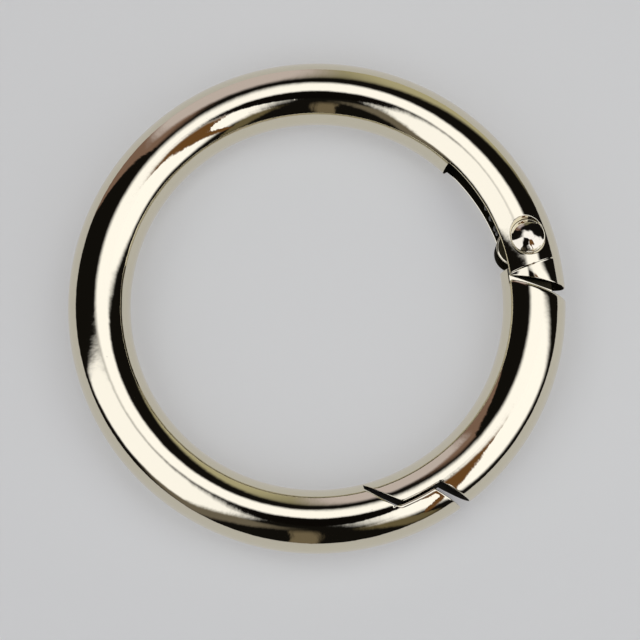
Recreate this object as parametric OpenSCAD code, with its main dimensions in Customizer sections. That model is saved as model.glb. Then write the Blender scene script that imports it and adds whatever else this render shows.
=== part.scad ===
// Spring gate ring: a round die-cast ring whose gate swings inwards on a rivet
// and shuts against a Z-shaped lap. Millimetres. The origin is the ring's centre
// on its mid plane, +Z up, and the hinge lies on the +X side.

/* [Ring] */
// Inside diameter of the shut ring
inner_d = 38; // [34:0.5:60]
// Diameter of the round cast section
wire_d = 6.4; // [6:0.1:8]

/* [Hinge] */
// Angle of the hinge rivet above the +X axis
pin_angle = 16.9; // [10:0.1:24]
// Distance from the section's centre line out to the rivet
pin_offset = 0.25; // [0.05:0.05:0.3]
// Diameter of the rivet's shank
pin_d = 1.7; // [1.4:0.1:2]
// Width of the slot between the two cheeks of the fork
slot_w = 4.1; // [3.6:0.1:4.3]
// Wall left behind the slot on the outer side of the ring
slot_back_wall = 1.4; // [1.2:0.1:1.6]
// Length of the slot beyond the rivet, which holds the spring
bay_length = 11.5; // [10:0.1:14]
// Distance from the rivet's axis to the end face of the cheeks
cheek_reach = 4.25; // [3.9:0.05:4.6]
// Slant of the cheeks' end face from square
cheek_slant = 27; // [20:1:32]
// Gap between the cheeks and the gate's shoulder on the rivet's side
shoulder_gap = 0.42; // [0.32:0.02:0.8]
// Slant of the gate's shoulder from square
shoulder_slant = 36; // [33:1:40]

/* [Gate tongue] */
// Clearance between the tongue and each cheek
tongue_side_gap = 0.1; // [0.06:0.02:0.2]
// Radial clearance of the tongue's bore on the rivet
bore_gap = 0.06; // [0.03:0.01:0.09]
// Radius of the heel lobe that the spring pushes on
lobe_r = 1.95; // [1.6:0.05:2.1]
// How far the lobe's centre lies below the rivet
lobe_drop = 0.6; // [0.4:0.02:0.8]
// Distance below the rivet at which the gate's inner horn ends
horn_reach = 2.5; // [2.4:0.05:3.1]

/* [Latch] */
// Angle below +X at which the gate's outer half ends on the centre line
lip_angle = 56.2; // [50:0.2:62]
// Length of the Z's middle leg, along the centre line
lap_length = 4.26; // [3:0.1:6]
// Gap along the centre line at each end of the Z
latch_gap = 1; // [0.8:0.05:1.4]
// Gap between the two faces of the Z's middle leg
lap_gap = 0.15; // [0.05:0.01:0.3]
// Slant of the gate's toe from the radius
gate_toe_slant = 43; // [38:1:46]
// Slant of the notch in the body that faces the toe
body_toe_slant = 38; // [30:1:38]
// Slant of the outer ends of the Z from the radius
lip_slant = 27; // [20:1:32]

/* [Rivet] */
// Diameter of the rivet's domed heads
head_d = 3.35; // [3:0.05:3.6]
// Radius of the heads' dome
dome_r = 3.2; // [2.8:0.1:5]
// Depth of each dome's top below the round of the ring
head_sunk = 0.2; // [0.1:0.05:0.3]
// Height of the heads' straight rim
head_rim = 0.12; // [0.05:0.01:0.2]
// Radial clearance between a head's rim and its seat
seat_gap = 0.05; // [0.03:0.01:0.1]
// Angle at which the seats flare out above the heads' rim
seat_flare = 25; // [15:1:30]

/* [Spring] */
// Outside diameter of the coil
coil_d = 2.2; // [1.8:0.1:2.6]
// Diameter of the spring wire
coil_wire_d = 0.35; // [0.25:0.05:0.45]
// Number of open turns
coil_turns = 7; // [5:1:10]
// Distance from the centre line of the ring to the spring's seat
seat_offset = 0.7; // [0.2:0.1:0.8]
// Clearance at each end of the spring
spring_end_gap = 0.08; // [0.04:0.02:0.15]

/* [Hidden] */

wire_r = wire_d / 2;
pitch_r = inner_d / 2 + wire_r;
outer_r = pitch_r + wire_r;
// Half the side of a square that covers the whole ring
reach = 2 * outer_r;
degree_length = PI * pitch_r / 180;

pin = polar(pitch_r + pin_offset, pin_angle);
tongue_w = slot_w - 2 * tongue_side_gap;
slot_floor_r = outer_r - slot_back_wall;
tongue_back_gap = 0.15;
tongue_back_r = slot_floor_r - tongue_back_gap;
// The boss turns clear of the slot's floor
boss_r = tongue_back_r - pitch_r - pin_offset;
// The lobe stands just inside the ring's round
lobe_inset = 0.05;
lobe_center = [lobe_inset + lobe_r - wire_r - pin_offset, -lobe_drop];
shoulder_reach = cheek_reach + shoulder_gap;

// Angles below +X of the four corners of the Z lap
gap_angle = latch_gap / degree_length;
toe_angle = lip_angle + lap_length / degree_length;
body_nose_angle = lip_angle + gap_angle;
body_notch_angle = toe_angle + gap_angle;

// Rivet: the seats are sunk for the heads but leave some of the cheek under them
head_r = head_d / 2;
dome_h = dome_r - sqrt(dome_r * dome_r - head_r * head_r);
seat_floor = 0.15;
seat_z = max(wire_r - head_sunk - dome_h - head_rim, slot_w / 2 + seat_floor);

// Spring: a straight coil from the lobe to the far end of the slot. The end is radial, so
// the coil leans on it with one side and stops short of it on its own axis.
slot_end_angle = pin_angle + bay_length / degree_length;
lobe_place = pin + turn(lobe_center, pin_angle);
spring_seat = polar(pitch_r + seat_offset, slot_end_angle);
spring_run = spring_seat - lobe_place;
spring_angle = atan2(spring_run[1], spring_run[0]);
spring_lean = slot_end_angle + 90 - spring_angle;
spring_room = norm(spring_run) - lobe_r - coil_d / 2 * tan(spring_lean);
spring_length = spring_room - 2 * spring_end_gap;
closed_turns = 1;
closed_pitch = 1.04;

// Smoothness of exact rounds and of the coil, which is drawn with facets
$fn = 96;
coil_steps = 20;
coil_sides = 8;

// Point at radius r and angle a
function polar(r, a) = [r * cos(a), r * sin(a)];

// Vector v turned by angle a
function turn(v, a) = [v[0] * cos(a) - v[1] * sin(a), v[0] * sin(a) + v[1] * cos(a)];

// The hinge's own frame: x points away from the ring's centre, y up the ring
module at_hinge() {
    translate(pin) rotate(pin_angle) children();
}

// Everything on the lower side of a slanted line that passes dist below the rivet
module below_hinge(dist, slant) {
    at_hinge() rotate(-slant) translate([-reach, -dist - 2 * reach]) square(2 * reach);
}

// Everything on the hinge's side of a slanted line through the centre line at angle a
module above_cut(a, slant) {
    translate(polar(pitch_r, a)) rotate(a + slant) translate([-reach, 0]) square(2 * reach);
}

// The quarter of the plan that holds the gate
module gate_sector() {
    polygon([[0, 0], polar(reach, -95), polar(reach, -45), polar(reach, 0), polar(reach, 45)]);
}

// Plan of the gate's space: inner half to the toe, outer half to the lip
module gate_plan(lap_r, toe, toe_slant, lip, end_dist, end_slant) {
    intersection() {
        gate_sector();
        below_hinge(end_dist, end_slant);
        union() {
            intersection() {
                circle(r = lap_r);
                above_cut(-toe, toe_slant);
            }
            difference() {
                above_cut(-lip, lip_slant);
                circle(r = lap_r);
            }
        }
    }
}

// The whole round ring
module wire_ring() {
    rotate_extrude() translate([pitch_r, 0]) circle(r = wire_r);
}

// Plan of the slot: open inwards and at the cheeks' end, closed where the spring sits
module slot_plan() {
    intersection() {
        circle(r = slot_floor_r);
        polygon([[0, 0], polar(reach, -30), polar(reach, 10), polar(reach, slot_end_angle)]);
        at_hinge() translate([-reach, -cheek_reach - 2 * wire_d]) square(2 * reach);
    }
}

// Seat of one rivet head in a cheek: a blind bore for the rim, flared above it
module head_seat() {
    seat_r = head_r + seat_gap;
    flare_h = wire_r - seat_z;
    translate([pin[0], pin[1], seat_z]) {
        cylinder(r = seat_r, h = flare_h);
        translate([0, 0, head_rim])
            cylinder(r1 = seat_r, r2 = seat_r + flare_h * tan(seat_flare), h = flare_h);
    }
}

module ring_body() {
    color("#e9e2cf") difference() {
        wire_ring();
        linear_extrude(2 * wire_d, center = true)
            gate_plan(pitch_r + lap_gap, body_notch_angle, body_toe_slant,
                      body_nose_angle, cheek_reach, cheek_slant);
        linear_extrude(slot_w, center = true) slot_plan();
        translate(pin) cylinder(d = pin_d, h = 2 * wire_d, center = true);
        head_seat();
        mirror([0, 0, 1]) head_seat();
    }
}

// Web of the tongue: it leaves the shoulder and ends in the inner horn
module tongue_web_plan() {
    intersection() {
        gate_sector();
        circle(r = tongue_back_r);
        at_hinge() translate([-reach, -horn_reach - 2 * reach]) square(2 * reach);
        at_hinge() translate([-wire_d, -shoulder_reach - wire_d]) square([2 * wire_d, 2 * wire_d]);
    }
}

// Boss round the rivet, heel lobe, and the neck that joins them to the web
module tongue_head_plan() {
    at_hinge() {
        circle(r = boss_r);
        translate(lobe_center) circle(r = lobe_r);
        translate([lobe_center[0], -horn_reach - wire_r / 2])
            square([boss_r - lobe_center[0], horn_reach + wire_r / 2]);
    }
}

module gate() {
    color("#ece5d2") difference() {
        union() {
            intersection() {
                wire_ring();
                union() {
                    linear_extrude(2 * wire_d, center = true)
                        gate_plan(pitch_r, toe_angle, gate_toe_slant,
                                  lip_angle, shoulder_reach, shoulder_slant);
                    linear_extrude(tongue_w, center = true) tongue_web_plan();
                }
            }
            linear_extrude(tongue_w, center = true) intersection() {
                tongue_head_plan();
                circle(r = tongue_back_r);
            }
        }
        translate(pin) cylinder(d = pin_d + 2 * bore_gap, h = 2 * wire_d, center = true);
    }
}

// Half of the rivet's outline, from its middle to the top of one dome
module rivet_outline() {
    square([pin_d / 2, seat_z]);
    translate([0, seat_z]) square([head_r, head_rim]);
    translate([0, seat_z + head_rim]) intersection() {
        translate([0, dome_h - dome_r]) circle(r = dome_r);
        square([head_r, dome_h]);
    }
}

module hinge_rivet() {
    color("#f0ead8") translate(pin) rotate_extrude() {
        rivet_outline();
        mirror([0, 1]) rivet_outline();
    }
}

// Height of the coil's centre line after t turns: close turns at both ends, open between
function coil_rise(t) =
    let (closed = coil_wire_d * closed_pitch,
         open = (spring_length - coil_wire_d - 2 * closed_turns * closed) / coil_turns,
         low = min(t, closed_turns),
         mid = min(max(t - closed_turns, 0), coil_turns),
         high = max(t - closed_turns - coil_turns, 0))
    coil_wire_d / 2 + (low + high) * closed + mid * open;

// Ring of the wire's section at turn t
function coil_ring(t) =
    let (mean_r = (coil_d - coil_wire_d) / 2)
    [for (k = [0 : coil_sides - 1])
        let (a = 360 * k / coil_sides, r = mean_r + coil_wire_d / 2 * cos(a))
        [r * cos(360 * t), r * sin(360 * t), coil_rise(t) + coil_wire_d / 2 * sin(a)]];

// The coil as one swept wire, rising along z
module coil() {
    turns = coil_turns + 2 * closed_turns;
    steps = turns * coil_steps;
    points = [for (i = [0 : steps]) each coil_ring(i / coil_steps)];
    sides = [for (i = [0 : steps - 1], k = [0 : coil_sides - 1])
        let (a = i * coil_sides + k, b = i * coil_sides + (k + 1) % coil_sides)
        [a, a + coil_sides, b + coil_sides, b]];
    first = [for (k = [0 : coil_sides - 1]) k];
    last = [for (k = [coil_sides - 1 : -1 : 0]) steps * coil_sides + k];
    polyhedron(points, concat([first], sides, [last]), convexity = 10);
}

module gate_spring() {
    start = lobe_place + polar(lobe_r + spring_end_gap, spring_angle);
    color("#b9b8b2") translate(start) rotate([0, 90, spring_angle]) coil();
}

ring_body();
gate();
hinge_rivet();
gate_spring();
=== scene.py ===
"""Looks of a spring gate ring: a plated die-cast ring with a sprung gate.

Lengths are millimetres in the record's frame unless a name says otherwise: the ring's
centre is the origin, +Z is square to its plane and +X points at the hinge side.
Angles are degrees, counted from +X towards +Y. A section point is a distance from the
ring's axis and a height over its mid plane, and a section angle is 0 on the ring's
outside, 90 on top and 180 inside.
"""

import logging
from dataclasses import dataclass, field
from enum import Enum
from math import acos, asin, atan2, cos, degrees, hypot, radians, sin, sqrt, tan, tau

import bmesh
import bpy
import numpy as np
from bmesh.types import BMesh, BMVert
from bpy.types import Material, Node, NodeSocket, NodeTree, Object
from mathutils import Matrix, Vector
from numpy import ndarray as Array


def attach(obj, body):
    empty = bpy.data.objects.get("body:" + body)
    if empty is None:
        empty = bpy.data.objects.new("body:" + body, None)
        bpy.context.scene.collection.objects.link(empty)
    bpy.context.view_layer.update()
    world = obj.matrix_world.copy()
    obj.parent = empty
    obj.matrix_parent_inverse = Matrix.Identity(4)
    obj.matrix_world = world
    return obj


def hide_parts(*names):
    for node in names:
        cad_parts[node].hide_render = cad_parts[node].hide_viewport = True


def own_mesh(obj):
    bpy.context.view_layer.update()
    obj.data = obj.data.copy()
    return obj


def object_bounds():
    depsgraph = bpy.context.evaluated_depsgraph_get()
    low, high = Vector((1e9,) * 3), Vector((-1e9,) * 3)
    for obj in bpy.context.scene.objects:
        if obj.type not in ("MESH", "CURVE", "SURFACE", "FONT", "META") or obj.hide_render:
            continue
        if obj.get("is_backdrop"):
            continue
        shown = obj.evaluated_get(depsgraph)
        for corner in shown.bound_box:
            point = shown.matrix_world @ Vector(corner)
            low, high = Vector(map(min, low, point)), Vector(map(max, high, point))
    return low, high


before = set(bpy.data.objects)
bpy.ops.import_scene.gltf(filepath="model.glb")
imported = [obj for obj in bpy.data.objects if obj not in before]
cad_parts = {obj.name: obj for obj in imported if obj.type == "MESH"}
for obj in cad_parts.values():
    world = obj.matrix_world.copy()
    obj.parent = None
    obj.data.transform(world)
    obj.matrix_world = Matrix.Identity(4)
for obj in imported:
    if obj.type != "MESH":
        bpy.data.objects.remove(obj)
CAD_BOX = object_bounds()

LOG = logging.getLogger("spring_gate_ring")
MM = 0.001
MERGE = 1e-4 * MM
SHARP_ANGLE = radians(32.0)
# Steps per millimetre of the grid on which a crease finds its vertices
CREASE_GRID = 2000.0
# Degrees between the points of a section
COLUMN_STEP = 2.5
# Margin in degrees when columns are picked by their angle
PICK = 0.01
# The polish misses a face this deep under the round, and one less deep that turns away; such faces take the dark
# plate that paints their shade
DEEP_CUT = 0.6
CUT_DEPTH = 0.12
TURNED_AWAY = 0.7
# Height of a unit normal from which a face counts as flat, or below which as upright
FLAT = 0.99
UPRIGHT = 0.05

# Round section of the ring
PITCH_R = 22.2
WIRE_R = 3.2
# Hinge
PIN_ANGLE = 16.9
PIN_R = 22.45
PIN_TURN = radians(PIN_ANGLE)
PIN_FRAME = np.array([[cos(PIN_TURN), -sin(PIN_TURN)], [sin(PIN_TURN), cos(PIN_TURN)]])
PIN = PIN_R * PIN_FRAME[:, 0]
SLOT_HALF = 2.05
SLOT_FLOOR_R = 24.0
SLOT_END_ANGLE = 46.58
CHEEK_REACH = 4.25
CHEEK_SLANT = 27.0
SHOULDER_REACH = 4.67
SHOULDER_SLANT = 36.0
# Rivet and its seats
HEAD_R = 1.675
HEAD_RIM = 0.12
SEAT_R = 1.725
SEAT_Z = 2.4066
SEAT_FLARE = 25.0
# A face this near the rivet and this high belongs to a seat
SEAT_ZONE_R = 2.3
SEAT_ZONE_Z = 2.1
# Spring in its slot
SPRING_SEAT = (15.74004, 16.63313)
# Latch
LIP_ANGLE = 56.2
TOE_ANGLE = 67.195
NOSE_ANGLE = 58.78
NOTCH_ANGLE = 69.775
BODY_LAP_R = 22.35
LIP_SLANT = 27.0
TOE_SLANT = 43.0
NOTCH_SLANT = 38.0
# Section angle over which a rim's rounding fades out beside the lap
LAP_FADE = 20.0


class Body(Enum):
    """The record's rigid bodies."""

    RING = "ring"
    GATE = "gate_arm"


class Slot(Enum):
    """The record's material slots."""

    ZINC = "plated_zinc"
    RIVET = "plated_rivet"
    WIRE = "spring_wire"


# ---- plan and sections


@dataclass(frozen=True)
class CutLine:
    """A straight cut in plan, square to the ring's plane.

    Attributes:
        x: A point on the line.
        y: The same point.
        slant: Direction of the line in degrees.
    """

    x: float
    y: float
    slant: float

    @classmethod
    def below_pin(cls, distance: float, slant: float) -> "CutLine":
        """Makes the line of a slant that passes a distance below the rivet's axis."""
        normal = radians(slant + 90.0)
        return cls(PIN[0] - distance * cos(normal), PIN[1] - distance * sin(normal), slant)

    @classmethod
    def at_angle(cls, angle: float, slant: float) -> "CutLine":
        """Makes the line that crosses the pitch circle at an angle, slanting from the radius there."""
        turn = radians(angle)
        return cls(PITCH_R * cos(turn), PITCH_R * sin(turn), angle + slant)

    def angle_at(self, radius: Array | float) -> Array | float:
        """Finds where circles about the ring's axis meet the line.

        Args:
            radius: Radii of the circles.

        Returns:
            Angles in radians, those nearest to the line's own point.
        """
        normal = radians(self.slant + 90.0)
        offset = self.x * cos(normal) + self.y * sin(normal)
        half = np.arccos(np.clip(offset / radius, -1.0, 1.0))
        own = atan2(self.y, self.x)
        ahead, back = (np.angle(np.exp(1j * (normal + turn - own))) for turn in (half, -half))
        return own + np.where(np.abs(ahead) < np.abs(back), ahead, back)


def place(section: Array, angle: Array | float) -> Array:
    """Places section points in space, each at its angle in radians round the ring's axis."""
    radius, height = section[..., 0], section[..., 1]
    return np.stack([radius * np.cos(angle), radius * np.sin(angle), height * np.ones_like(radius)], axis=-1)


def sweep(section: Array, start: Array | float, stop: Array | float, steps: int) -> list[Array]:
    """Places section points in rows from start to stop, which are angles in radians for each point."""
    return [place(section, start + (stop - start) * share) for share in np.linspace(0.0, 1.0, steps + 1)]


def tube_section(phi_deg: Array | float) -> Array:
    """Gives the section points at some section angles of the ring's round."""
    phi = np.radians(phi_deg)
    return np.stack([PITCH_R + WIRE_R * np.cos(phi), WIRE_R * np.sin(phi)], axis=-1)


def bezier(first: Array, corner: Array, last: Array, steps: int) -> list[Array]:
    """Rounds a corner with a quadratic curve, in rows after the first up to the last."""
    shares = np.linspace(0.0, 1.0, steps + 1)[1:]
    return [(1 - share) ** 2 * first + 2 * share * (1 - share) * corner + share ** 2 * last for share in shares]


def smooth(share: Array | float) -> Array | float:
    """Eases a share from 0 to 1."""
    bounded = np.clip(share, 0.0, 1.0)
    return bounded * bounded * (3.0 - 2.0 * bounded)


@dataclass
class CutSection:
    """A section made of an arc of the round and a chain of straight cuts.

    Attributes:
        arc: Section angles of the arc, in order.
        chain: Corners that lead from the arc's end back to its start.
        counts: Points on each straight part.
        corner_steps: Steps of the rounding at each end of the arc.
    """

    arc: Array
    chain: tuple[tuple[float, float], ...]
    counts: tuple[int, ...]
    corner_steps: int = 5

    def loop(self, rounding: float) -> Array:
        """Builds the closed loop.

        Args:
            rounding: Length of the rounding where the arc meets the cuts.

        Returns:
            The section's points, arc first.
        """
        turn = degrees(rounding / WIRE_R)
        low, high = self.arc[0], self.arc[-1]
        shrink = (high - low - 2 * turn) / (high - low)
        arc = tube_section(low + turn + (self.arc - low) * shrink)
        ends = tube_section(np.array([low, high]))
        corners = [ends[1], *map(np.array, self.chain), ends[0]]
        leave = corners[1] - corners[0]
        arrive = corners[-2] - corners[-1]
        corners[0] = ends[1] + leave * rounding / np.linalg.norm(leave)
        corners[-1] = ends[0] + arrive * rounding / np.linalg.norm(arrive)
        parts = [arc, bezier(arc[-1], ends[1], corners[0], self.corner_steps)]
        for one, other, count in zip(corners, corners[1:], self.counts):
            parts.append(one + (other - one) * np.linspace(0.0, 1.0, count + 1)[1:, None])
        parts.append(bezier(arc[0], ends[0], corners[-1], self.corner_steps)[-2::-1])
        return np.concatenate(parts)


@dataclass
class Ending:
    """How a run of section points ends on a cut.

    Attributes:
        cut: The cut's line.
        sense: 1 if the run arrives with growing angle, -1 if with falling angle.
        width: Length of the rim's rounding along the ring, for each point.
        depth: Length of the rim's rounding on the cut face, for each point.
        centre_r: Distance from the axis of the point that the cut face closes on.
    """

    cut: CutLine
    sense: int
    width: Array | float
    depth: Array | float
    centre_r: float = PITCH_R

    ROUNDING_STEPS = 7

    def run(self, section: Array, start: Array | float, steps: int) -> list[Array]:
        """Runs the section from a start angle to the cut and rounds its rim.

        Args:
            section: The section's points.
            start: Angle in radians at which each point starts.
            steps: Number of steps before the rounding.

        Returns:
            Rows of points in space, from the start to the rounded rim.
        """
        radius = section[:, 0]
        rim = self.cut.angle_at(radius)
        rows = sweep(section, start, rim - self.sense * self.width / radius, steps)
        centre = np.array([self.centre_r, 0.0])
        away = section - centre
        inner = centre + away * (1.0 - np.reshape(self.depth, (-1, 1)) / np.linalg.norm(away, axis=1, keepdims=True))
        face = place(inner, self.cut.angle_at(inner[:, 0]))
        return rows + bezier(rows[-1], place(section, rim), face, self.ROUNDING_STEPS)


# ---- mesh building


def new_object(name: str, bm: BMesh) -> Object:
    """Turns a bmesh into an object in the scene.

    Args:
        name: Name of the object.
        bm: The mesh, freed afterwards.

    Returns:
        The new object.
    """
    mesh = bpy.data.meshes.new(name)
    bm.to_mesh(mesh)
    bm.free()
    made = bpy.data.objects.new(name, mesh)
    bpy.context.scene.collection.objects.link(made)
    return made


def add_grid(bm: BMesh, rows: Array, closed: bool) -> list[list[BMVert]]:
    """Adds a patch's vertices and four-sided faces.

    Args:
        bm: The mesh to add to.
        rows: Points by row and column.
        closed: Whether each row closes on itself.

    Returns:
        The new vertices by row and column.
    """
    grid = [[bm.verts.new(Vector(point) * MM) for point in row] for row in rows.tolist()]
    columns = len(grid[0])
    for lower, upper in zip(grid, grid[1:]):
        for column in range(columns if closed else columns - 1):
            after = (column + 1) % columns
            bm.faces.new((lower[column], lower[after], upper[after], upper[column]))
    return grid


def grid_cell(point: Array) -> tuple[int, ...]:
    """Gives the cell of the crease grid that a point is in."""
    return tuple(np.round(point * CREASE_GRID).astype(int))


def finish_shading(bm: BMesh, creases: tuple[Array, ...] = ()) -> None:
    """Turns faces outwards, smooths them and keeps sharp edges sharp.

    Args:
        bm: The mesh to shade.
        creases: Rows of points whose edges stay sharp at any angle.
    """
    bmesh.ops.recalc_face_normals(bm, faces=bm.faces)
    for face in bm.faces:
        face.smooth = True
    kept = {grid_cell(point) for row in creases for point in row}
    for edge in bm.edges:
        bends = edge.is_manifold and edge.calc_face_angle(0.0) > SHARP_ANGLE
        creased = bool(kept) and all(grid_cell(np.array(vert.co) / MM) in kept for vert in edge.verts)
        edge.smooth = not (bends or creased)


def raw_face_in_painted_shade(centre: Vector, normal: Vector) -> bool:
    """Tells whether a face takes the dark unpolished plate, painted shade of the recesses: those of the slot, the
    lap and the hinge's gap.

    Args:
        centre: Middle of the face.
        normal: The face's normal.

    Returns:
        True for a face inside the casting, but not in the rivet's seats.
    """
    radius = hypot(centre.x, centre.y)
    across = radius - PITCH_R
    outward = Vector((centre.x / radius * across, centre.y / radius * across, centre.z))
    depth = WIRE_R - outward.length
    in_seat = hypot(centre.x - PIN[0], centre.y - PIN[1]) < SEAT_ZONE_R and abs(centre.z) > SEAT_ZONE_Z
    turned = normal.dot(outward.normalized()) < TURNED_AWAY
    return not in_seat and (depth > DEEP_CUT or (depth > CUT_DEPTH and turned))


@dataclass
class MeshBuilder:
    """Collects patches of points and turns them into one clean mesh.

    Attributes:
        name: Name of the piece.
        raw_faces_shaded: Whether the polish missed some of its faces, which take the dark plate that paints their
            shade.
        patches: Rows of points, and whether each row closes on itself.
        creases: Rows of points whose edges stay sharp.
    """

    name: str
    raw_faces_shaded: bool = False
    patches: list[tuple[Array, bool]] = field(default_factory=list)
    creases: list[Array] = field(default_factory=list)

    LIP_COUNT = 40
    LIP_STEPS = 14
    EASE_STEPS = 5

    def add(self, rows: Array | list[Array], closed: bool) -> None:
        """Adds one patch of rows with as many points each, whose ends may join."""
        self.patches.append((np.array(rows), closed))

    def add_lip(self, columns: Array, turn: float, ending: Ending, rounding: float, ease: float) -> None:
        """Adds one half-round lip of the lap, from its corner to its end.

        Args:
            columns: Section angles of the lip's round side.
            turn: Angle in radians at which the lip starts.
            ending: How the lip ends.
            rounding: Rounding of the lip's long edges.
            ease: Length over which the rounding grows from nothing.
        """
        lip = CutSection(columns, (), (self.LIP_COUNT,))
        rows = []
        for share in np.linspace(0.0, 1.0, self.EASE_STEPS + 1):
            rows.append(place(lip.loop(rounding * smooth(share)), turn + ending.sense * share * ease / PITCH_R))
        rows += ending.run(lip.loop(rounding), turn + ending.sense * ease / PITCH_R, self.LIP_STEPS)[1:]
        self.add(rows, True)

    def build(self) -> Object:
        """Makes the mesh object, welded, closed and with outward normals.

        Returns:
            The new object.
        """
        bm = bmesh.new()
        for rows, closed in self.patches:
            add_grid(bm, rows, closed)
        bmesh.ops.remove_doubles(bm, verts=bm.verts, dist=MERGE)
        bmesh.ops.dissolve_degenerate(bm, edges=bm.edges, dist=MERGE)
        bmesh.ops.holes_fill(bm, edges=[edge for edge in bm.edges if edge.is_boundary], sides=0)
        finish_shading(bm, tuple(self.creases))
        # Faces deep in the slot, the lap and the gaps take the dark plate as painted shade
        if self.raw_faces_shaded:
            for face in bm.faces:
                face.material_index = int(raw_face_in_painted_shade(face.calc_center_median() / MM, face.normal))
        left = sum(not edge.is_manifold for edge in bm.edges)
        LOG.info("%s: %d faces, %d open or shared edges", self.name, len(bm.faces), left)
        return new_object(self.name, bm)


# ---- pieces


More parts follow.
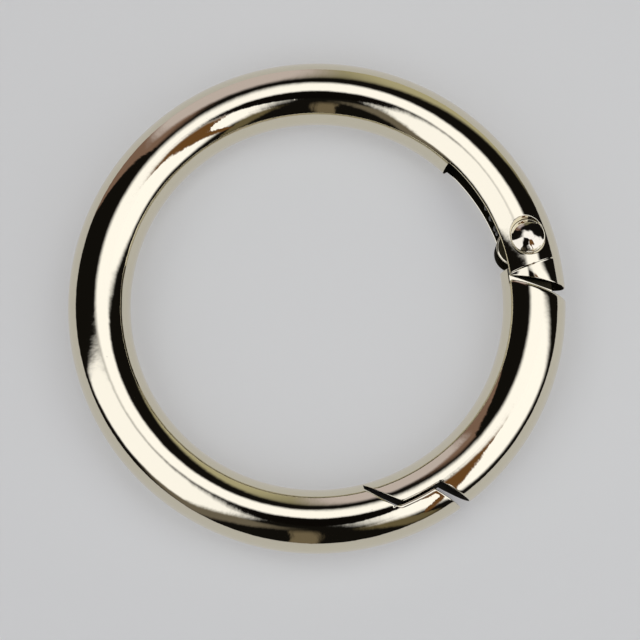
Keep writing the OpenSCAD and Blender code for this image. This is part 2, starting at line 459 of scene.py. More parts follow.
class GateCasting:
    """The gate arm: its round bar, the lap at its tip, and the tongue on the rivet."""

    INNER_HALF = np.arange(90.0, 270.1, COLUMN_STEP)
    OUTER_HALF = np.arange(-90.0, 90.1, COLUMN_STEP)
    # Where the bar ends and the tip starts
    TIP_START = radians(-48.0)
    BAR_STEPS = 60
    TIP_STEPS = 12
    # Roundings of rims: along the ring, on the face, and where the face closes
    SHOULDER_WIDTHS = (0.2, 0.95)
    SHOULDER_DEPTH = 0.3
    LIP_RIM = (0.14, 0.12)
    TOE_RIM = (0.14, 0.12, 20.7)
    HORN_RIM = (0.12, 0.1, 21.6)
    LAP_ROUNDING = 0.12
    LAP_EASE = 0.6
    TONGUE_HALF = 1.95
    TONGUE_BACK_R = 23.85
    # Web between the bar and the boss
    WEB_DEPTH = 0.9
    WEB_COLUMNS = 25
    WEB_COUNTS = (16, 12, 16)
    WEB_ROUNDING = 0.1
    WEB_STEPS = 14
    HORN_REACH = 2.5
    # Plate of the boss and the heel lobe, from the rivet: outwards and across
    BOSS_R = 1.4
    LOBE_R = 1.95
    LOBE_CENTRE = np.array([-1.45, -0.6])
    NECK_END = -3.95
    PLATE_MIDDLE = np.array([0.0, -1.0])
    PLATE_POINTS = 192
    PLATE_EDGE = 0.16

    def __init__(self) -> None:
        """Sets out the cuts and starts the mesh."""
        self.shoulder = CutLine.below_pin(SHOULDER_REACH, PIN_ANGLE - SHOULDER_SLANT)
        self.lip = CutLine.at_angle(-LIP_ANGLE, LIP_SLANT)
        self.toe = CutLine.at_angle(-TOE_ANGLE, TOE_SLANT)
        self.builder = MeshBuilder("gate_casting", raw_faces_shaded=True)

    def build(self) -> Object:
        """Builds the whole gate.

        Returns:
            The gate's object.
        """
        self._bar()
        self._tip()
        return joined(self.builder.build(), [self._web(), self._plate()])

    def _bar(self) -> None:
        """Adds the bar from the shoulder to just above the lap."""
        columns = np.arange(-90.0, 270.0, COLUMN_STEP)
        outer, inner = self.SHOULDER_WIDTHS
        width = outer + (inner - outer) * (1.0 - np.cos(np.radians(columns))) / 2.0
        shoulder = Ending(self.shoulder, 1, width, self.SHOULDER_DEPTH)
        self.builder.add(shoulder.run(tube_section(columns), self.TIP_START, self.BAR_STEPS), True)

    def _tip(self) -> None:
        """Adds the two halves of the lap at the gate's tip."""
        fade = smooth((90.0 - np.abs(self.OUTER_HALF)) / LAP_FADE)
        outer = Ending(self.lip, -1, *(size * fade for size in self.LIP_RIM))
        self.builder.add(outer.run(tube_section(self.OUTER_HALF), self.TIP_START, self.TIP_STEPS), False)
        turn = radians(-LIP_ANGLE)
        self.builder.add(sweep(tube_section(self.INNER_HALF), self.TIP_START, turn, self.TIP_STEPS), False)
        toe = Ending(self.toe, -1, *self.TOE_RIM)
        self.builder.add_lip(self.INNER_HALF, turn, toe, self.LAP_ROUNDING, self.LAP_EASE)

    def _web(self) -> Object:
        """Makes the web between the bar and the boss, ending in the inner horn.

        Returns:
            The web's object.
        """
        mouth = degrees(asin(self.TONGUE_HALF / WIRE_R))
        arc = np.linspace(180.0 - mouth, 180.0 + mouth, self.WEB_COLUMNS)
        back = ((self.TONGUE_BACK_R, -self.TONGUE_HALF), (self.TONGUE_BACK_R, self.TONGUE_HALF))
        section = CutSection(arc, back, self.WEB_COUNTS).loop(self.WEB_ROUNDING)
        root = CutLine.below_pin(SHOULDER_REACH + self.WEB_DEPTH, PIN_ANGLE - SHOULDER_SLANT)
        horn = Ending(CutLine.below_pin(self.HORN_REACH, PIN_ANGLE), 1, *self.HORN_RIM)
        rows = np.array(horn.run(section, root.angle_at(section[:, 0]), self.WEB_STEPS))
        web = MeshBuilder("gate_web", patches=[(rows, True)]).build()
        for face in web.data.polygons:
            # Flat faces take the web finish, which paints shade towards the cheeks
            if abs(face.normal.z) > FLAT:
                face.material_index = 2
        return web

    def _plate(self) -> Object:
        """Makes the boss, the heel lobe and the neck as one flat plate.

        Returns:
            The plate's object.
        """
        turns = np.linspace(0.0, tau, self.PLATE_POINTS, endpoint=False)
        rays = np.column_stack([np.cos(turns), np.sin(turns)])
        middle = self.PLATE_MIDDLE
        reach = np.max([
            circle_exit(middle, rays, np.zeros(2), self.BOSS_R),
            circle_exit(middle, rays, self.LOBE_CENTRE, self.LOBE_R),
            box_exit(middle, rays, (self.LOBE_CENTRE[0], self.NECK_END), (self.BOSS_R, 0.0)),
        ], axis=0)
        room = circle_exit(middle, rays, np.array([-PIN_R, 0.0]), self.TONGUE_BACK_R)
        outline = (middle + rays * np.minimum(reach, room)[:, None]) @ PIN_FRAME.T + PIN
        bm = bmesh.new()
        verts = [bm.verts.new((x * MM, y * MM, -self.TONGUE_HALF * MM)) for x, y in outline.tolist()]
        raised = bmesh.ops.extrude_face_region(bm, geom=[bm.faces.new(verts)])
        top = [part for part in raised["geom"] if isinstance(part, BMVert)]
        bmesh.ops.translate(bm, verts=top, vec=(0, 0, 2 * self.TONGUE_HALF * MM))
        bmesh.ops.recalc_face_normals(bm, faces=bm.faces)
        rims = [edge for edge in bm.edges if abs(edge.verts[0].co.z - edge.verts[1].co.z) < MERGE]
        bmesh.ops.bevel(
            bm, geom=rims, offset=self.PLATE_EDGE * MM, offset_type="OFFSET", segments=5, profile=0.5,
            affect="EDGES", material=-1,
        )
        finish_shading(bm)
        # Flat tops and upright walls take the dark plate, painted shade of the slot; only the rounded rims stay
        # polished
        for face in bm.faces:
            face.material_index = int(not UPRIGHT <= abs(face.normal.z) <= FLAT)
        return new_object("gate_plate", bm)


def circle_exit(start: Array, rays: Array, centre: Array, radius: float) -> Array:
    """Measures how far unit rays from a start run inside a circle.

    Args:
        start: Start of the rays.
        rays: Their directions.
        centre: Centre of the circle.
        radius: Radius of the circle.

    Returns:
        Distance of each exit, or 0 where a ray misses the circle.
    """
    along = rays @ (start - centre)
    root = along ** 2 - np.sum((start - centre) ** 2) + radius ** 2
    return np.where(root > 0.0, np.maximum(np.sqrt(np.abs(root)) - along, 0.0), 0.0)


def box_exit(start: Array, rays: Array, low: tuple[float, float], high: tuple[float, float]) -> Array:
    """Measures how far rays from a start run to the edge of the upright box round it, from low to high."""
    steady = np.where(np.abs(rays) < 1e-9, 1e-9, rays)
    return np.min((np.where(steady > 0.0, high, low) - start) / steady, axis=1)


def joined(target: Object, others: list[Object]) -> Object:
    """Joins meshes into one object.

    Args:
        target: The object that stays.
        others: The objects that join it.

    Returns:
        The target.
    """
    bm = bmesh.new()
    for part in (target, *others):
        bm.from_mesh(part.data)
    bm.to_mesh(target.data)
    bm.free()
    for part in others:
        bpy.data.meshes.remove(part.data)
    return target


class BodyCasting:
    """The ring's body: the full round, the forked hinge end and the latch nose."""

    # Where the full round ends and the nose starts
    NOSE_START = -76.0
    ROUND_STEPS = 235
    NOSE_STEPS = 10
    # Roundings of rims: along the ring, on the face, and where the face closes
    NOTCH_RIM = (0.3, 0.2)
    NOSE_RIM = (0.18, 0.14, 23.9)
    CHEEK_RIM = (0.12, 0.1, 24.6)
    LAP_ROUNDING = 0.42
    LAP_EASE = 0.7
    SLOT_ROUNDING = 0.1
    SLOT_COUNTS = (22, 14, 22)
    SLOT_STEPS = 35
    # Share of the slot's length over which its rounding grows from nothing
    SLOT_EASE = 1.0 / 6.0
    # Part of the fork round the rivet
    WINDOW_TOP = radians(23.5)
    WINDOW_STEPS = 32
    WINDOW_COLUMNS = (42.5, 130.0)
    SEAT_ROUNDING = 0.07
    SEAT_FOOT_Z = SEAT_Z + HEAD_RIM
    SEAT_FOOT_GAP = 0.008
    SEAT_STEPS = 12
    SEAT_ROUNDING_STEPS = 4
    # Relief of the cheeks' ends: a step down at the crease, then a slope that steepens
    CREASE_REACH = 2.86
    CREASE_TURN = 3.2
    CHEEK_STEPS = 44
    RELIEF_SLOPE_DEG = 4.0
    RELIEF_DROP = 0.06
    RELIEF_POWER = 4
    STEP_MM = 0.16
    STEP_DROP = 0.1

    def __init__(self) -> None:
        """Sets out the cuts and the columns, and starts the mesh."""
        self.mouth = 180.0 - degrees(asin(SLOT_HALF / WIRE_R))
        self.lap_phi = degrees(acos((BODY_LAP_R - PITCH_R) / WIRE_R))
        self.nose = CutLine.at_angle(-NOSE_ANGLE, LIP_SLANT)
        self.notch = CutLine.at_angle(-NOTCH_ANGLE, NOTCH_SLANT)
        self.cheek = CutLine.below_pin(CHEEK_REACH, PIN_ANGLE - CHEEK_SLANT)
        self.crease = CutLine.below_pin(self.CREASE_REACH, PIN_ANGLE + self.CREASE_TURN)
        self.slot_end = CutLine.at_angle(SLOT_END_ANGLE, 0.0)
        self.columns = np.arange(-180.0, 180.0, COLUMN_STEP)
        # A column has to meet each edge of the lap and of the slot
        for edge in (self.lap_phi, -self.lap_phi, self.mouth, -self.mouth):
            self.columns[np.argmin(np.abs(self.columns - edge))] = edge
        self.fork_arc = self.columns[np.abs(self.columns) < self.mouth + PICK]
        self.slot_corner = self.slot_end.angle_at(tube_section(self.mouth)[0])
        self.builder = MeshBuilder("ring_casting", raw_faces_shaded=True)

    def build(self) -> Object:
        """Builds the ring's body.

        Returns:
            The body's object.
        """
        self._round()
        self._nose()
        self._fork()
        return self.builder.build()

    def _round(self) -> None:
        """Adds the full round from the slot's end to just before the latch."""
        section = tube_section(self.columns)
        start = np.where(
            np.abs(self.columns) > self.mouth - PICK, self.slot_end.angle_at(section[:, 0]), self.slot_corner,
        )
        self.builder.add(sweep(section, start, radians(360.0 + self.NOSE_START), self.ROUND_STEPS), True)

    def _nose(self) -> None:
        """Adds the latch end: the notch in the inner half and the outer nose."""
        start = radians(self.NOSE_START)
        outer = self.columns[np.abs(self.columns) < self.lap_phi + PICK]
        inner = np.sort(self.columns[np.abs(self.columns) > self.lap_phi - PICK] % 360.0)
        fade = smooth(np.minimum(inner - self.lap_phi, 360.0 - self.lap_phi - inner) / LAP_FADE)
        notch = Ending(self.notch, 1, *(size * fade for size in self.NOTCH_RIM))
        self.builder.add(notch.run(tube_section(inner), start, self.NOSE_STEPS), False)
        corner = self.notch.angle_at(BODY_LAP_R)
        self.builder.add(sweep(tube_section(outer), start, corner, self.NOSE_STEPS), False)
        nose = Ending(self.nose, 1, *self.NOSE_RIM)
        self.builder.add_lip(outer, corner, nose, self.LAP_ROUNDING, self.LAP_EASE)

    def _fork(self) -> None:
        """Adds the fork: two cheeks joined by the outer wall, with both rivet seats."""
        chain = ((SLOT_FLOOR_R, SLOT_HALF), (SLOT_FLOOR_R, -SLOT_HALF))
        fork = CutSection(self.fork_arc, chain, self.SLOT_COUNTS, corner_steps=4)
        first = self.slot_end.angle_at(fork.loop(0.0)[:, 0])
        first[:len(self.fork_arc)] = self.slot_corner
        rows = []
        for share in np.linspace(0.0, 1.0, self.SLOT_STEPS + 1):
            section = fork.loop(self.SLOT_ROUNDING * smooth(share / self.SLOT_EASE))
            rows.append(place(section, first + (self.WINDOW_TOP - first) * share))
        self.builder.add(rows, True)
        section = fork.loop(self.SLOT_ROUNDING)
        crease = self.crease.angle_at(section[:, 0])
        self._window(np.array(sweep(section, self.WINDOW_TOP, crease, self.WINDOW_STEPS)), section)
        self._cheek_end(section, crease)

    def _window(self, zone: Array, section: Array) -> None:
        """Adds the part of the fork round the rivet, with a seat in each cheek.

        Args:
            zone: All rows of the part.
            section: The fork's section.
        """
        arc = section[:len(self.fork_arc)]
        phi = np.degrees(np.arctan2(arc[:, 1], arc[:, 0] - PITCH_R))
        low, high = self.WINDOW_COLUMNS
        upper = np.flatnonzero((phi >= low) & (phi <= high))
        lower = np.flatnonzero((phi <= -low) & (phi >= -high))
        self.builder.add(zone[:, lower[-1]:upper[0] + 1], False)
        self.builder.add(np.concatenate([zone[:, upper[-1]:], zone[:, :lower[0] + 1]], axis=1), False)
        self._seat(zone[:, upper[0]:upper[-1] + 1], 1.0)
        self._seat(zone[:, lower[0]:lower[-1] + 1], -1.0)

    def _seat(self, window: Array, side: float) -> None:
        """Adds the round seat of a rivet head inside a window of the cheek.

        Args:
            window: Rows of points that the seat's patch replaces.
            side: 1 on top, -1 underneath.
        """
        border = np.concatenate([window[0, :-1], window[:-1, -1], window[-1, :0:-1], window[:0:-1, 0]])
        away = border[:, :2] - PIN
        unit = away / np.linalg.norm(away, axis=1, keepdims=True)
        reach = np.full((len(border), 1), SEAT_R)
        for _ in range(self.SEAT_STEPS):
            reach = self._flared(np.abs(self._lifted(PIN + unit * reach, side)[:, 2:]))
        rim = PIN + unit * (reach + self.SEAT_ROUNDING)
        rows = [border]
        for share in np.linspace(0.0, 1.0, self.SEAT_STEPS + 1)[1:]:
            rows.append(self._lifted(border[:, :2] + (rim - border[:, :2]) * share, side))
        sharp = self._lifted(PIN + unit * reach, side)
        height = np.abs(sharp[:, 2:]) - self.SEAT_ROUNDING
        wall = np.hstack([PIN + unit * self._flared(height), side * height])
        rows += bezier(rows[-1], sharp, wall, self.SEAT_ROUNDING_STEPS)
        foot_z = np.minimum(height - self.SEAT_FOOT_GAP, self.SEAT_FOOT_Z)
        foot = np.hstack([PIN + unit * SEAT_R, side * foot_z])
        rows += [wall + (foot - wall) * share for share in (0.5, 1.0)]
        floor = foot.copy()
        floor[:, 2] = side * SEAT_Z
        self.builder.add([*rows, floor], True)

    def _flared(self, height: Array) -> Array:
        """Gives the seat's radius at each height: its wall flares above the foot."""
        return SEAT_R + np.maximum(height - self.SEAT_FOOT_Z, 0.0) * tan(radians(SEAT_FLARE))

    @staticmethod
    def _lifted(plan: Array, side: float) -> Array:
        """Lifts plan points onto the ring's round, on its top if side is 1, else on its underside."""
        across = np.linalg.norm(plan, axis=1) - PITCH_R
        return np.column_stack([plan, side * np.sqrt(WIRE_R ** 2 - across ** 2)])

    def _cheek_end(self, section: Array, crease: Array) -> None:
        """Adds the relieved ends of the cheeks beyond their crease.

        Args:
            section: The fork's section.
            crease: Angle of the crease at each point.
        """
        arc_count = len(self.fork_arc)
        weight = np.abs(np.sin(np.arctan2(section[:, 1], section[:, 0] - PITCH_R)))
        weight[arc_count:] = 0.0
        rows = np.array(Ending(self.cheek, -1, *self.CHEEK_RIM).run(section, crease, self.CHEEK_STEPS))
        radius = np.linalg.norm(rows[..., :2], axis=-1)
        beyond = np.maximum(crease - np.arctan2(rows[..., 1], rows[..., 0]), 0.0) * radius
        reach = np.maximum((crease - self.cheek.angle_at(radius)) * radius, 1.0)
        drop = self.RELIEF_DROP * (beyond / reach) ** self.RELIEF_POWER
        sink = beyond * tan(radians(self.RELIEF_SLOPE_DEG)) + drop
        sink += self.STEP_DROP * smooth(beyond / self.STEP_MM)
        rows[..., 2] -= np.sign(rows[..., 2]) * sink * weight
        self.builder.add(rows, True)
        self.builder.creases.append(rows[0][:arc_count])


class HingeRivet:
    """The rivet: a shank with a low dome at each end."""

    SHANK_R = 0.85
    DOME_R = 3.2
    DOME_STEPS = 21
    ROUNDING = 0.05
    # Radius and height of the head's edge, from the dome to the seat
    EDGE = (
        (HEAD_R - 0.015, SEAT_Z + HEAD_RIM + 0.02), (HEAD_R, SEAT_Z + HEAD_RIM - 0.03), (HEAD_R, SEAT_Z + 0.03),
        (HEAD_R - 0.03, SEAT_Z), (SHANK_R, SEAT_Z),
    )
    TURN_STEPS = 96

    def build(self) -> Object:
        """Builds the rivet by turning its profile, from pole to pole.

        Returns:
            The rivet's object.
        """
        top = SEAT_Z + HEAD_RIM + (self.DOME_R - sqrt(self.DOME_R ** 2 - HEAD_R ** 2))
        limit = asin((HEAD_R - self.ROUNDING) / self.DOME_R)
        tilts = np.linspace(0.0, 1.0, self.DOME_STEPS + 1) * limit
        dome = [(self.DOME_R * sin(tilt), top - self.DOME_R * (1.0 - cos(tilt))) for tilt in tilts]
        half = [*dome, *self.EDGE]
        profile = np.array(half + [(radius, -height) for radius, height in reversed(half)])
        turns = np.linspace(0.0, tau, self.TURN_STEPS, endpoint=False)
        rows = place(np.repeat(profile[:, None], self.TURN_STEPS, axis=1), turns) + (*PIN, 0.0)
        return MeshBuilder("hinge_rivet_visual", patches=[(rows, True)]).build()


class GateSpring:
    """The coil that pushes on the gate's heel lobe."""

    WIRE_R = 0.175
    MEAN_R = 0.925
    CLOSED_PITCH = 0.364
    OPEN_TURNS = 7
    LENGTH = 9.3812
    STEPS = 28
    SIDES = 10
    LOBE_GAP = 0.08

    def __init__(self) -> None:
        """Sets the coil between the heel lobe and its seat in the slot."""
        heel = PIN + PIN_FRAME @ GateCasting.LOBE_CENTRE
        run = np.array(SPRING_SEAT) - heel
        self.along = run / np.linalg.norm(run)
        self.free_end = heel + self.along * (GateCasting.LOBE_R + self.LOBE_GAP)
        self.fixed_end = self.free_end + self.along * self.LENGTH

    def build(self) -> Object:
        """Builds the coil.

        Returns:
            The spring's object.
        """
        pitch = (self.LENGTH - 2 * self.WIRE_R - 2 * self.CLOSED_PITCH) / self.OPEN_TURNS
        turn = np.arange((self.OPEN_TURNS + 2) * self.STEPS + 1)[:, None] / self.STEPS
        opened = np.clip(turn - 1.0, 0.0, self.OPEN_TURNS)
        rise = self.WIRE_R + (turn - opened) * self.CLOSED_PITCH + opened * pitch
        angle = np.linspace(0.0, tau, self.SIDES, endpoint=False)
        wire = np.broadcast_arrays(self.MEAN_R + self.WIRE_R * np.cos(angle), rise + self.WIRE_R * np.sin(angle))
        x, y = self.along
        axes = np.array([(0.0, 0.0, -1.0), (-y, x, 0.0), (x, y, 0.0)])
        rows = place(np.stack(wire, axis=-1), tau * turn) @ axes + (*self.free_end, 0.0)
        return MeshBuilder("gate_spring_visual", patches=[(rows, True)]).build()


# ---- finishes


def to_linear(code: str) -> tuple[float, float, float, float]:
    """Turns an sRGB hex colour into the linear colour that shaders use.

    Args:
        code: Colour as "#rrggbb".

    Returns:
        Red, green, blue and an alpha of 1.
    """
    channels = []
    for start in (1, 3, 5):
        value = int(code[start:start + 2], 16) / 255.0
        channels.append(value / 12.92 if value <= 0.04045 else ((value + 0.055) / 1.055) ** 2.4)
    return (*channels, 1.0)


def add_node(tree: NodeTree, kind: str, feeds: dict | None = None, **values) -> Node:
    """Adds one shader node.

    Args:
        tree: The tree to add to.
        kind: Blender's type name of the node, after its "ShaderNode".
        feeds: Input name or number, and what feeds it: a socket, a value or a node's first output.
        values: Input values by name with underscores for spaces, or node properties.

    Returns:
        The new node.
    """
    node = tree.nodes.new("ShaderNode" + kind)
    for key, value in values.items():
        label = key.replace("_", " ")
        if label in node.inputs:
            node.inputs[label].default_value = value
        else:
            setattr(node, key, value)
    for label, fed in (feeds or {}).items():
        fed = fed.outputs[0] if isinstance(fed, Node) else fed
        if isinstance(fed, NodeSocket):
            tree.links.new(fed, node.inputs[label])
        else:
            node.inputs[label].default_value = fed
    return node


@dataclass(frozen=True)
class Relief:
    """A fine relief of a surface: noise of one grain size.

    Attributes:
        grain_mm: Size of its grain.
        height_mm: Height of its grain.
        detail: Number of finer grains in it.
        fine_share: Height of each finer grain, as a share of the one before.
    """

    grain_mm: float
    height_mm: float
    detail: float = 0.0
    fine_share: float = 0.5

    def bump(self, tree: NodeTree, feeds: dict) -> Node:
        """Adds the relief.

        Args:
            tree: The material's tree.
            feeds: What else feeds the bump, such as the normal of a wider relief.

        Returns:
            The bump node.
        """
        spot = add_node(tree, "TexCoord").outputs["Object"]
        height = {"Height": self._height(tree, {"Vector": spot})}
        return add_node(tree, "Bump", height | feeds, Strength=1.0, Distance=self.height_mm * MM)

    def _height(self, tree: NodeTree, feeds: dict) -> Node:
        """Adds the noise that gives the height."""
        return add_node(
            tree, "TexNoise", feeds, Scale=1.0 / (self.grain_mm * MM), Detail=self.detail,
            Roughness=self.fine_share,
        )


@dataclass(frozen=True)
class Pits(Relief):
    """Small round pits, one in each cell of the grain size.

    Attributes:
        radius_mm: Radius of a pit.
    """

    radius_mm: float = 0.1

    def _height(self, tree: NodeTree, feeds: dict) -> Node:
        """Adds the cells and the bowl of each pit."""
        cells = add_node(tree, "TexVoronoi", feeds, Scale=1.0 / (self.grain_mm * MM))
        return add_node(
            tree, "MapRange", {"Value": cells}, interpolation_type="SMOOTHSTEP",
            From_Min=0.0, From_Max=self.radius_mm / self.grain_mm,
        )


class Finish:
    """A material; each kind of finish adds the nodes of its surface."""

    name: str

    def build(self) -> Material:
        """Makes the material.

        Returns:
            The material.
        """
        material = bpy.data.materials.new(self.name)
        material.use_nodes = True
        tree = material.node_tree
        tree.nodes.clear()
        add_node(tree, "OutputMaterial", {"Surface": self.surface(tree)})
        return material

    def surface(self, tree: NodeTree) -> Node:
        """Adds the nodes of the surface and gives the last one."""
        raise NotImplementedError


@dataclass(frozen=True)
class Metal(Finish):
    """A bare or plated metal.

    Attributes:
        name: Its common name.
        colour: sRGB colour of what it mirrors head on.
        roughness: Its roughness.
        reliefs: Its reliefs, the widest first.
        edge: sRGB tint of what it mirrors at a glancing angle.
    """

    name: str
    colour: str
    roughness: float
    reliefs: tuple[Relief, ...]
    edge: str = "#ffffff"

    def surface(self, tree: NodeTree) -> Node:
        """Adds the metal's shader with its reliefs, each on top of the one before."""
        normal = {}
        for relief in self.reliefs:
            normal = {"Normal": relief.bump(tree, normal)}
        return add_node(
            tree, "BsdfPrincipled", normal, Metallic=1.0, Base_Color=to_linear(self.colour),
            Roughness=self.roughness, Specular_Tint=to_linear(self.edge),
        )


# Polishing by hand leaves slight waves, which bend the mirrored studio, and the
# casting leaves a few fine pits
PLATED_ZINC = Metal(
    "pale gold nickel plate", "#e1dbc4", 0.035,
    (Relief(2.2, 0.02, detail=5.0, fine_share=0.45), Pits(2.6, 0.012, radius_mm=0.09)),
)
# The same plate on the grain of the mould, which the wheel never reached: dull, and darkened past its own colour as
# painted shade of the slot, the lap and the hinge's gaps
CAST_GRAIN = Relief(0.18, 0.02, detail=3.0)
# Its dark colour and dark edge tint are painted shade for the recesses
RAW_PLATE_AND_PAINTED_SHADE = Metal("plate on the raw casting", "#2c291d", 0.5, (CAST_GRAIN,), edge="#6b6652")
# The riveting tool's soft dents break up the mirror on the heads
PLATED_RIVET = Metal("polished nickel plate", "#dcd6c4", 0.05, (Relief(0.7, 0.045, detail=1.0),))
# Drawing leaves fine marks on the wire, which spread its shine; they are finer in truth. Its dark colour is painted
# shade of the slot it lies in
SPRING_WIRE = Metal("drawn spring wire", "#4a4944", 0.25, (Relief(0.08, 0.004, detail=2.0),))


class WebPlateWithPaintedShade(Finish):
    """The web's flats: bright beside the shoulder, darker, rougher and grained towards the cheeks, where the
    darkening is painted shade.
    """

    name = "web plate with painted shade"

    # Direction across the web and reach in millimetres over which the painted shade comes in
    SIDE = (0.3478, 0.9377, 0.0)
    REACH_MM = (9.2, 9.3)
    SHINE = 0.06

    def surface(self, tree: NodeTree) -> Node:
        """Adds the metal, which changes over from polished to dull and grained along one direction, its colour
        darkening as painted shade.
        """
        spot = add_node(tree, "TexCoord").outputs["Object"]
        across = add_node(tree, "VectorMath", {0: spot, 1: self.SIDE}, operation="DOT_PRODUCT")
        start, stop = self.REACH_MM
        raw_and_shaded = add_node(
            tree, "MapRange", {"Value": across.outputs["Value"]}, interpolation_type="SMOOTHSTEP",
            From_Min=start * MM, From_Max=stop * MM,
        )
        tone = add_node(tree, "ValToRGB", {"Fac": raw_and_shaded})
        for element, metal in zip(tone.color_ramp.elements, (PLATED_ZINC, RAW_PLATE_AND_PAINTED_SHADE)):
            element.color = to_linear(metal.colour)
        dull = add_node(tree, "MapRange", {"Value": raw_and_shaded}, To_Min=self.SHINE, To_Max=RAW_PLATE_AND_PAINTED_SHADE.roughness)
        skin = CAST_GRAIN.bump(tree, {"Strength": raw_and_shaded})
        feeds = {"Base Color": tone, "Roughness": dull, "Normal": skin}
        return add_node(tree, "BsdfPrincipled", feeds, Metallic=1.0)


class Paper(Finish):
    """Matt pale paper, which the camera and the metal's mirror see brighter than it is lit."""

    name = "matt pale paper"

    COLOUR = "#ebefe7"
    LIFT = "#cbc9ce"
    ROUGHNESS = 0.9
    SEEN_SHARE = 0.4
    MIRRORED_SHARE = 0.7

    def surface(self, tree: NodeTree) -> Node:
        """Adds the paper and the light that lifts it for those two kinds of ray."""
        path = add_node(tree, "LightPath").outputs
        seen = add_node(tree, "Math", {0: path["Is Camera Ray"], 1: self.SEEN_SHARE}, operation="MULTIPLY")
        mirrored = add_node(tree, "Math", {0: path["Is Glossy Ray"], 1: self.MIRRORED_SHARE}, operation="MULTIPLY")
        lifted = add_node(tree, "Math", {0: seen, 1: mirrored}, operation="MAXIMUM")
        paper = add_node(tree, "BsdfPrincipled", Base_Color=to_linear(self.COLOUR), Roughness=self.ROUGHNESS)
        lift = add_node(tree, "Emission", Color=to_linear(self.LIFT), Strength=1.0)
        return add_node(tree, "MixShader", {"Fac": lifted, 1: paper, 2: lift})


# ---- studio


@dataclass(frozen=True)
class SkyCard(Finish):
    """A lit card of the studio, given by where it stands in the sky over the ring.

    Attributes:
        name: What it is.
        outline: Corners as tilts from the zenith, towards +X and towards +Y.
        distance: Distance from the ring's centre.
        colour: sRGB colour of its light.
        strength: Radiance.
        feather: Share of the card that the soft edge takes.
    """

    name: str
    outline: tuple[tuple[float, float], ...]
    distance: float
    colour: str
    strength: float
    feather: float

    # Shares of its sides at which each corner is cut off, round after round
    CORNER_CUTS = (0.25, 0.25)
    RINGS = (0.02, 0.35, 0.6, 0.75, 0.85, 0.91, 0.96, 1.0)
    ATTRIBUTE = "reach"

    def hang(self) -> None:
        """Hangs the card as a curved sheet that faces the ring."""
        border = np.array(self.outline, dtype=float)
        for cut in self.CORNER_CUTS:
            after = np.roll(border, -1, axis=0)
            ends = (1 - cut) * border + cut * after, cut * border + (1 - cut) * after
            border = np.stack(ends, axis=1).reshape(-1, 2)
        middle = border.mean(axis=0)
        bm = bmesh.new()
        layer = bm.verts.layers.float.new(self.ATTRIBUTE)
        tilts = middle + (border - middle) * np.reshape(self.RINGS, (-1, 1, 1))
        zenith = np.radians(np.linalg.norm(tilts, axis=-1))
        rays = place(np.stack([np.sin(zenith), np.cos(zenith)], axis=-1), np.arctan2(tilts[..., 1], tilts[..., 0]))
        grid = add_grid(bm, rays * self.distance, True)
        for reach, row in zip(self.RINGS, grid):
            for vert in row:
                vert[layer] = reach
        bm.faces.new(grid[0])
        card = new_object(self.name, bm)
        card.data.materials.append(self.build())
        card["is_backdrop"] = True

    def surface(self, tree: NodeTree) -> Node:
        """Adds the card's light, which fades towards the edge and is hidden from the camera."""
        reach = add_node(tree, "Attribute", attribute_name=self.ATTRIBUTE)
        fade = add_node(
            tree, "MapRange", {"Value": reach.outputs["Fac"]}, interpolation_type="SMOOTHSTEP",
            From_Min=1.0, From_Max=1.0 - self.feather,
        )
        camera = add_node(tree, "LightPath").outputs["Is Camera Ray"]
        hidden = add_node(tree, "Math", {0: 1.0, 1: camera}, operation="SUBTRACT")
        shown = add_node(tree, "Math", {0: fade, 1: hidden}, operation="MULTIPLY")
        light = add_node(tree, "Emission", Color=to_linear(self.colour), Strength=self.strength)
        return add_node(tree, "MixShader", {"Fac": shown, 1: add_node(tree, "BsdfTransparent"), 2: light})


WHITE = "#f5f5ff"
SKY = (
    SkyCard("camera", ((-5, 1), (-8, -5), (-10, -12), (-9, -20), (-4, -27), (2, -28), (8, -23), (11, -15), (9, -6),
            (5, 1)), 250, "#14110f", 0.6, 0.15),
    SkyCard("overhead diffuser", ((44, 13), (34, 19), (28, 26), (22, 31), (13, 35), (-6, 40), (-15, 30), (-19, 14),
            (-22, 5), (-6, -2), (9, -3), (17, -6), (29, -11), (34, -5)), 260, WHITE, 1.46, 0.5),
    SkyCard("olive backdrop", ((-22, 50), (-2, 46), (15, 51), (35, 56), (58, 53), (80, 42), (120, 60), (110, 110),
            (0, 140), (-30, 130)), 265, "#b4ae91", 1.08, 0.8),
    SkyCard("rose backdrop", ((8, 57), (-6, 41), (-32, 40), (-40, 45), (-56, 64), (-62, 84), (-58, 106), (10, 112)),
            262, "#e4d8e0", 0.82, 0.42),
    SkyCard("rose side", ((-6, 18), (-34, 39), (-57, 45), (-95, 43), (-34, 107)), 268, "#8e7267", 0.87, 0.39),
    SkyCard("softbox pole", ((20, 2), (22, -8), (30, -18), (38, -40), (40, -68), (34, -62), (30, -44), (26, -29),
            (5, -10), (8, 4)), 290, "#75512e", 0.96, 0.32),
    SkyCard("left softbox", ((-3, 13), (-30, 7), (-53, 0), (-69, -5), (-85, -13), (-73, -30), (-67, -43), (-48, -60),
            (-40, -58), (-20, -42), (-10, -30), (-6, -20), (-8, -19)), 300, WHITE, 1.41, 0.24),
    SkyCard("right softbox", ((53, 14), (62, 9), (75, 0), (83, -9), (80, -24), (69, -43), (55, -60), (31, -56),
            (10, -48), (10, -42), (4, -36), (-1, -20), (8, -2), (-2, 5), (16, 23)), 301, WHITE, 1.48, 0.31),
    SkyCard("left softbox rim", ((-1, -28), (-55, -31), (-72, -52), (-61, -89), (-17, -56), (-2, -40)), 310,
            "#998f81", 0.53, 0.4),
    SkyCard("right softbox rim", ((19, -34), (28, -54), (61, -76), (42, -87), (12, -57), (3, -36)), 311,
            "#85795c", 0.65, 0.5),
    SkyCard("doorway", ((-8, -34), (2, -36), (2, -83), (-2, -112), (-18, -112), (-9, -65)), 312, "#7c705d", 0.92,
            0.5),
)


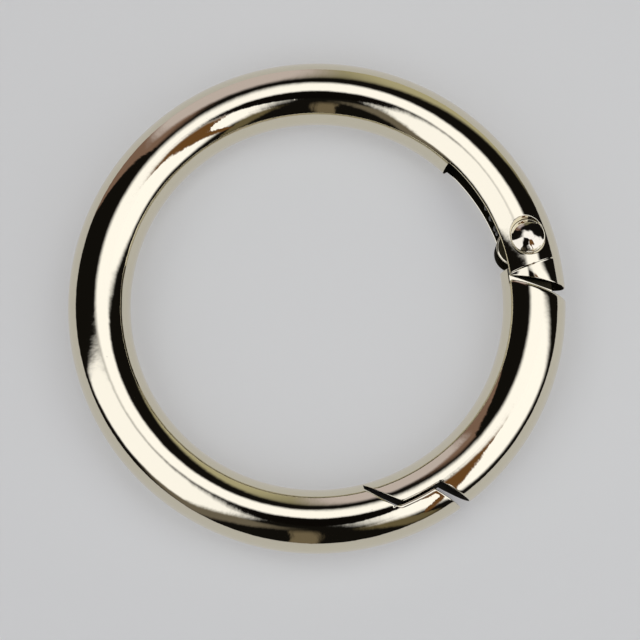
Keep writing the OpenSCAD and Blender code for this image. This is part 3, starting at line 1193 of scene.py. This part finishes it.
class Studio:
    """Floor, shadow lamps, cards, surround and camera."""

    FLOOR_SIZE = 700.0
    LAMP_TURNS_DEG = (35.0, 152.0)
    LAMP_TILT_DEG = 38.0
    LAMP_SPREAD_DEG = 28.0
    LAMP_STRENGTH = 0.3
    SURROUND = "#1c1a18"
    SURROUND_STRENGTH = 0.6
    # Camera: direction and distance from the ring's centre, lens and shift
    TOWARDS = (2.71, -41.3, 220.8)
    DISTANCE = 224.7
    LENS_MM = 123.75
    SHIFT = (0.00546875, -0.024734375)
    CLIP_M = (0.01, 10.0)

    def build(self) -> None:
        """Builds the studio."""
        self._floor()
        self._lamps()
        for card in SKY:
            card.hang()
        self._world()
        self._camera()

    def _floor(self) -> None:
        """Lays the floor under the ring."""
        bm = bmesh.new()
        bmesh.ops.create_grid(bm, x_segments=1, y_segments=1, size=self.FLOOR_SIZE * MM)
        bmesh.ops.translate(bm, verts=bm.verts, vec=(0, 0, -WIRE_R * MM))
        floor = new_object("floor", bm)
        floor.data.materials.append(Paper().build())
        floor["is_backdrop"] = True

    def _lamps(self) -> None:
        """Hangs two soft lamps behind the ring for its shadow; the metal doesn't mirror them."""
        tilt = radians(self.LAMP_TILT_DEG)
        for turn in map(radians, self.LAMP_TURNS_DEG):
            data = bpy.data.lights.new("soft lamp", "SUN")
            data.energy = self.LAMP_STRENGTH
            data.angle = radians(self.LAMP_SPREAD_DEG)
            lamp = bpy.data.objects.new("soft lamp", data)
            towards = Vector(place(np.array([sin(tilt), cos(tilt)]), turn))
            lamp.rotation_euler = towards.to_track_quat("Z", "Y").to_euler()
            lamp.visible_glossy = False
            bpy.context.scene.collection.objects.link(lamp)

    def _world(self) -> None:
        """Sets the surround: dark to the object, as pale as the floor to the camera."""
        world = bpy.data.worlds.new("studio")
        bpy.context.scene.world = world
        world.use_nodes = True
        tree = world.node_tree
        tree.nodes.clear()
        dark = add_node(tree, "Background", Color=to_linear(self.SURROUND), Strength=self.SURROUND_STRENGTH)
        pale = add_node(tree, "Background", Color=to_linear(Paper.LIFT), Strength=1.0)
        camera = add_node(tree, "LightPath").outputs["Is Camera Ray"]
        mix = add_node(tree, "MixShader", {"Fac": camera, 1: dark, 2: pale})
        add_node(tree, "OutputWorld", {"Surface": mix})

    def _camera(self) -> None:
        """Places the camera over the ring."""
        data = bpy.data.cameras.new("camera")
        data.lens = self.LENS_MM
        data.shift_x, data.shift_y = self.SHIFT
        data.clip_start, data.clip_end = self.CLIP_M
        camera = bpy.data.objects.new("camera", data)
        bpy.context.scene.collection.objects.link(camera)
        back = Vector(self.TOWARDS).normalized()
        right = Vector((0, 1, 0)).cross(back).normalized()
        turn = Matrix((right, back.cross(right), back)).transposed().to_4x4()
        camera.matrix_world = Matrix.Translation(back * self.DISTANCE * MM) @ turn
        bpy.context.scene.camera = camera


def write_sizes() -> None:
    boxes = {"frame": CAD_BOX, "finished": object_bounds()}
    sizes = {key: {"low": list(low), "high": list(high)} for key, (low, high) in boxes.items()}


def dress(piece: Object, node: str, body: Body, slot: Slot, *finishes: Material) -> None:
    """Gives a piece its finish and its place in the record.

    Args:
        piece: The piece.
        node: The CAD node that it stands for.
        body: The body that it moves with.
        slot: The record's material slot; not used.
        finishes: Its finishes, in the order of its faces' material numbers.
    """
    for finish in finishes:
        piece.data.materials.append(finish)
    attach(piece, body.value)
    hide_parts(node)


def main() -> None:
    """Builds the whole scene."""
    logging.basicConfig(level=logging.INFO, format="%(name)s: %(message)s")
    plate, raw_and_shaded = PLATED_ZINC.build(), RAW_PLATE_AND_PAINTED_SHADE.build()
    dress(BodyCasting().build(), "ring_body", Body.RING, Slot.ZINC, plate, raw_and_shaded)
    dress(GateCasting().build(), "gate", Body.GATE, Slot.ZINC, plate, raw_and_shaded, WebPlateWithPaintedShade().build())
    dress(HingeRivet().build(), "hinge_rivet", Body.RING, Slot.RIVET, PLATED_RIVET.build())
    coil = GateSpring()
    spring = coil.build()
    dress(spring, "gate_spring", Body.RING, Slot.WIRE, SPRING_WIRE.build())
    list(coil.along)
    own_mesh(spring)
    Studio().build()
    bpy.context.scene.view_settings.view_transform = "Standard"
    write_sizes()


if __name__ == "__main__":
    main()
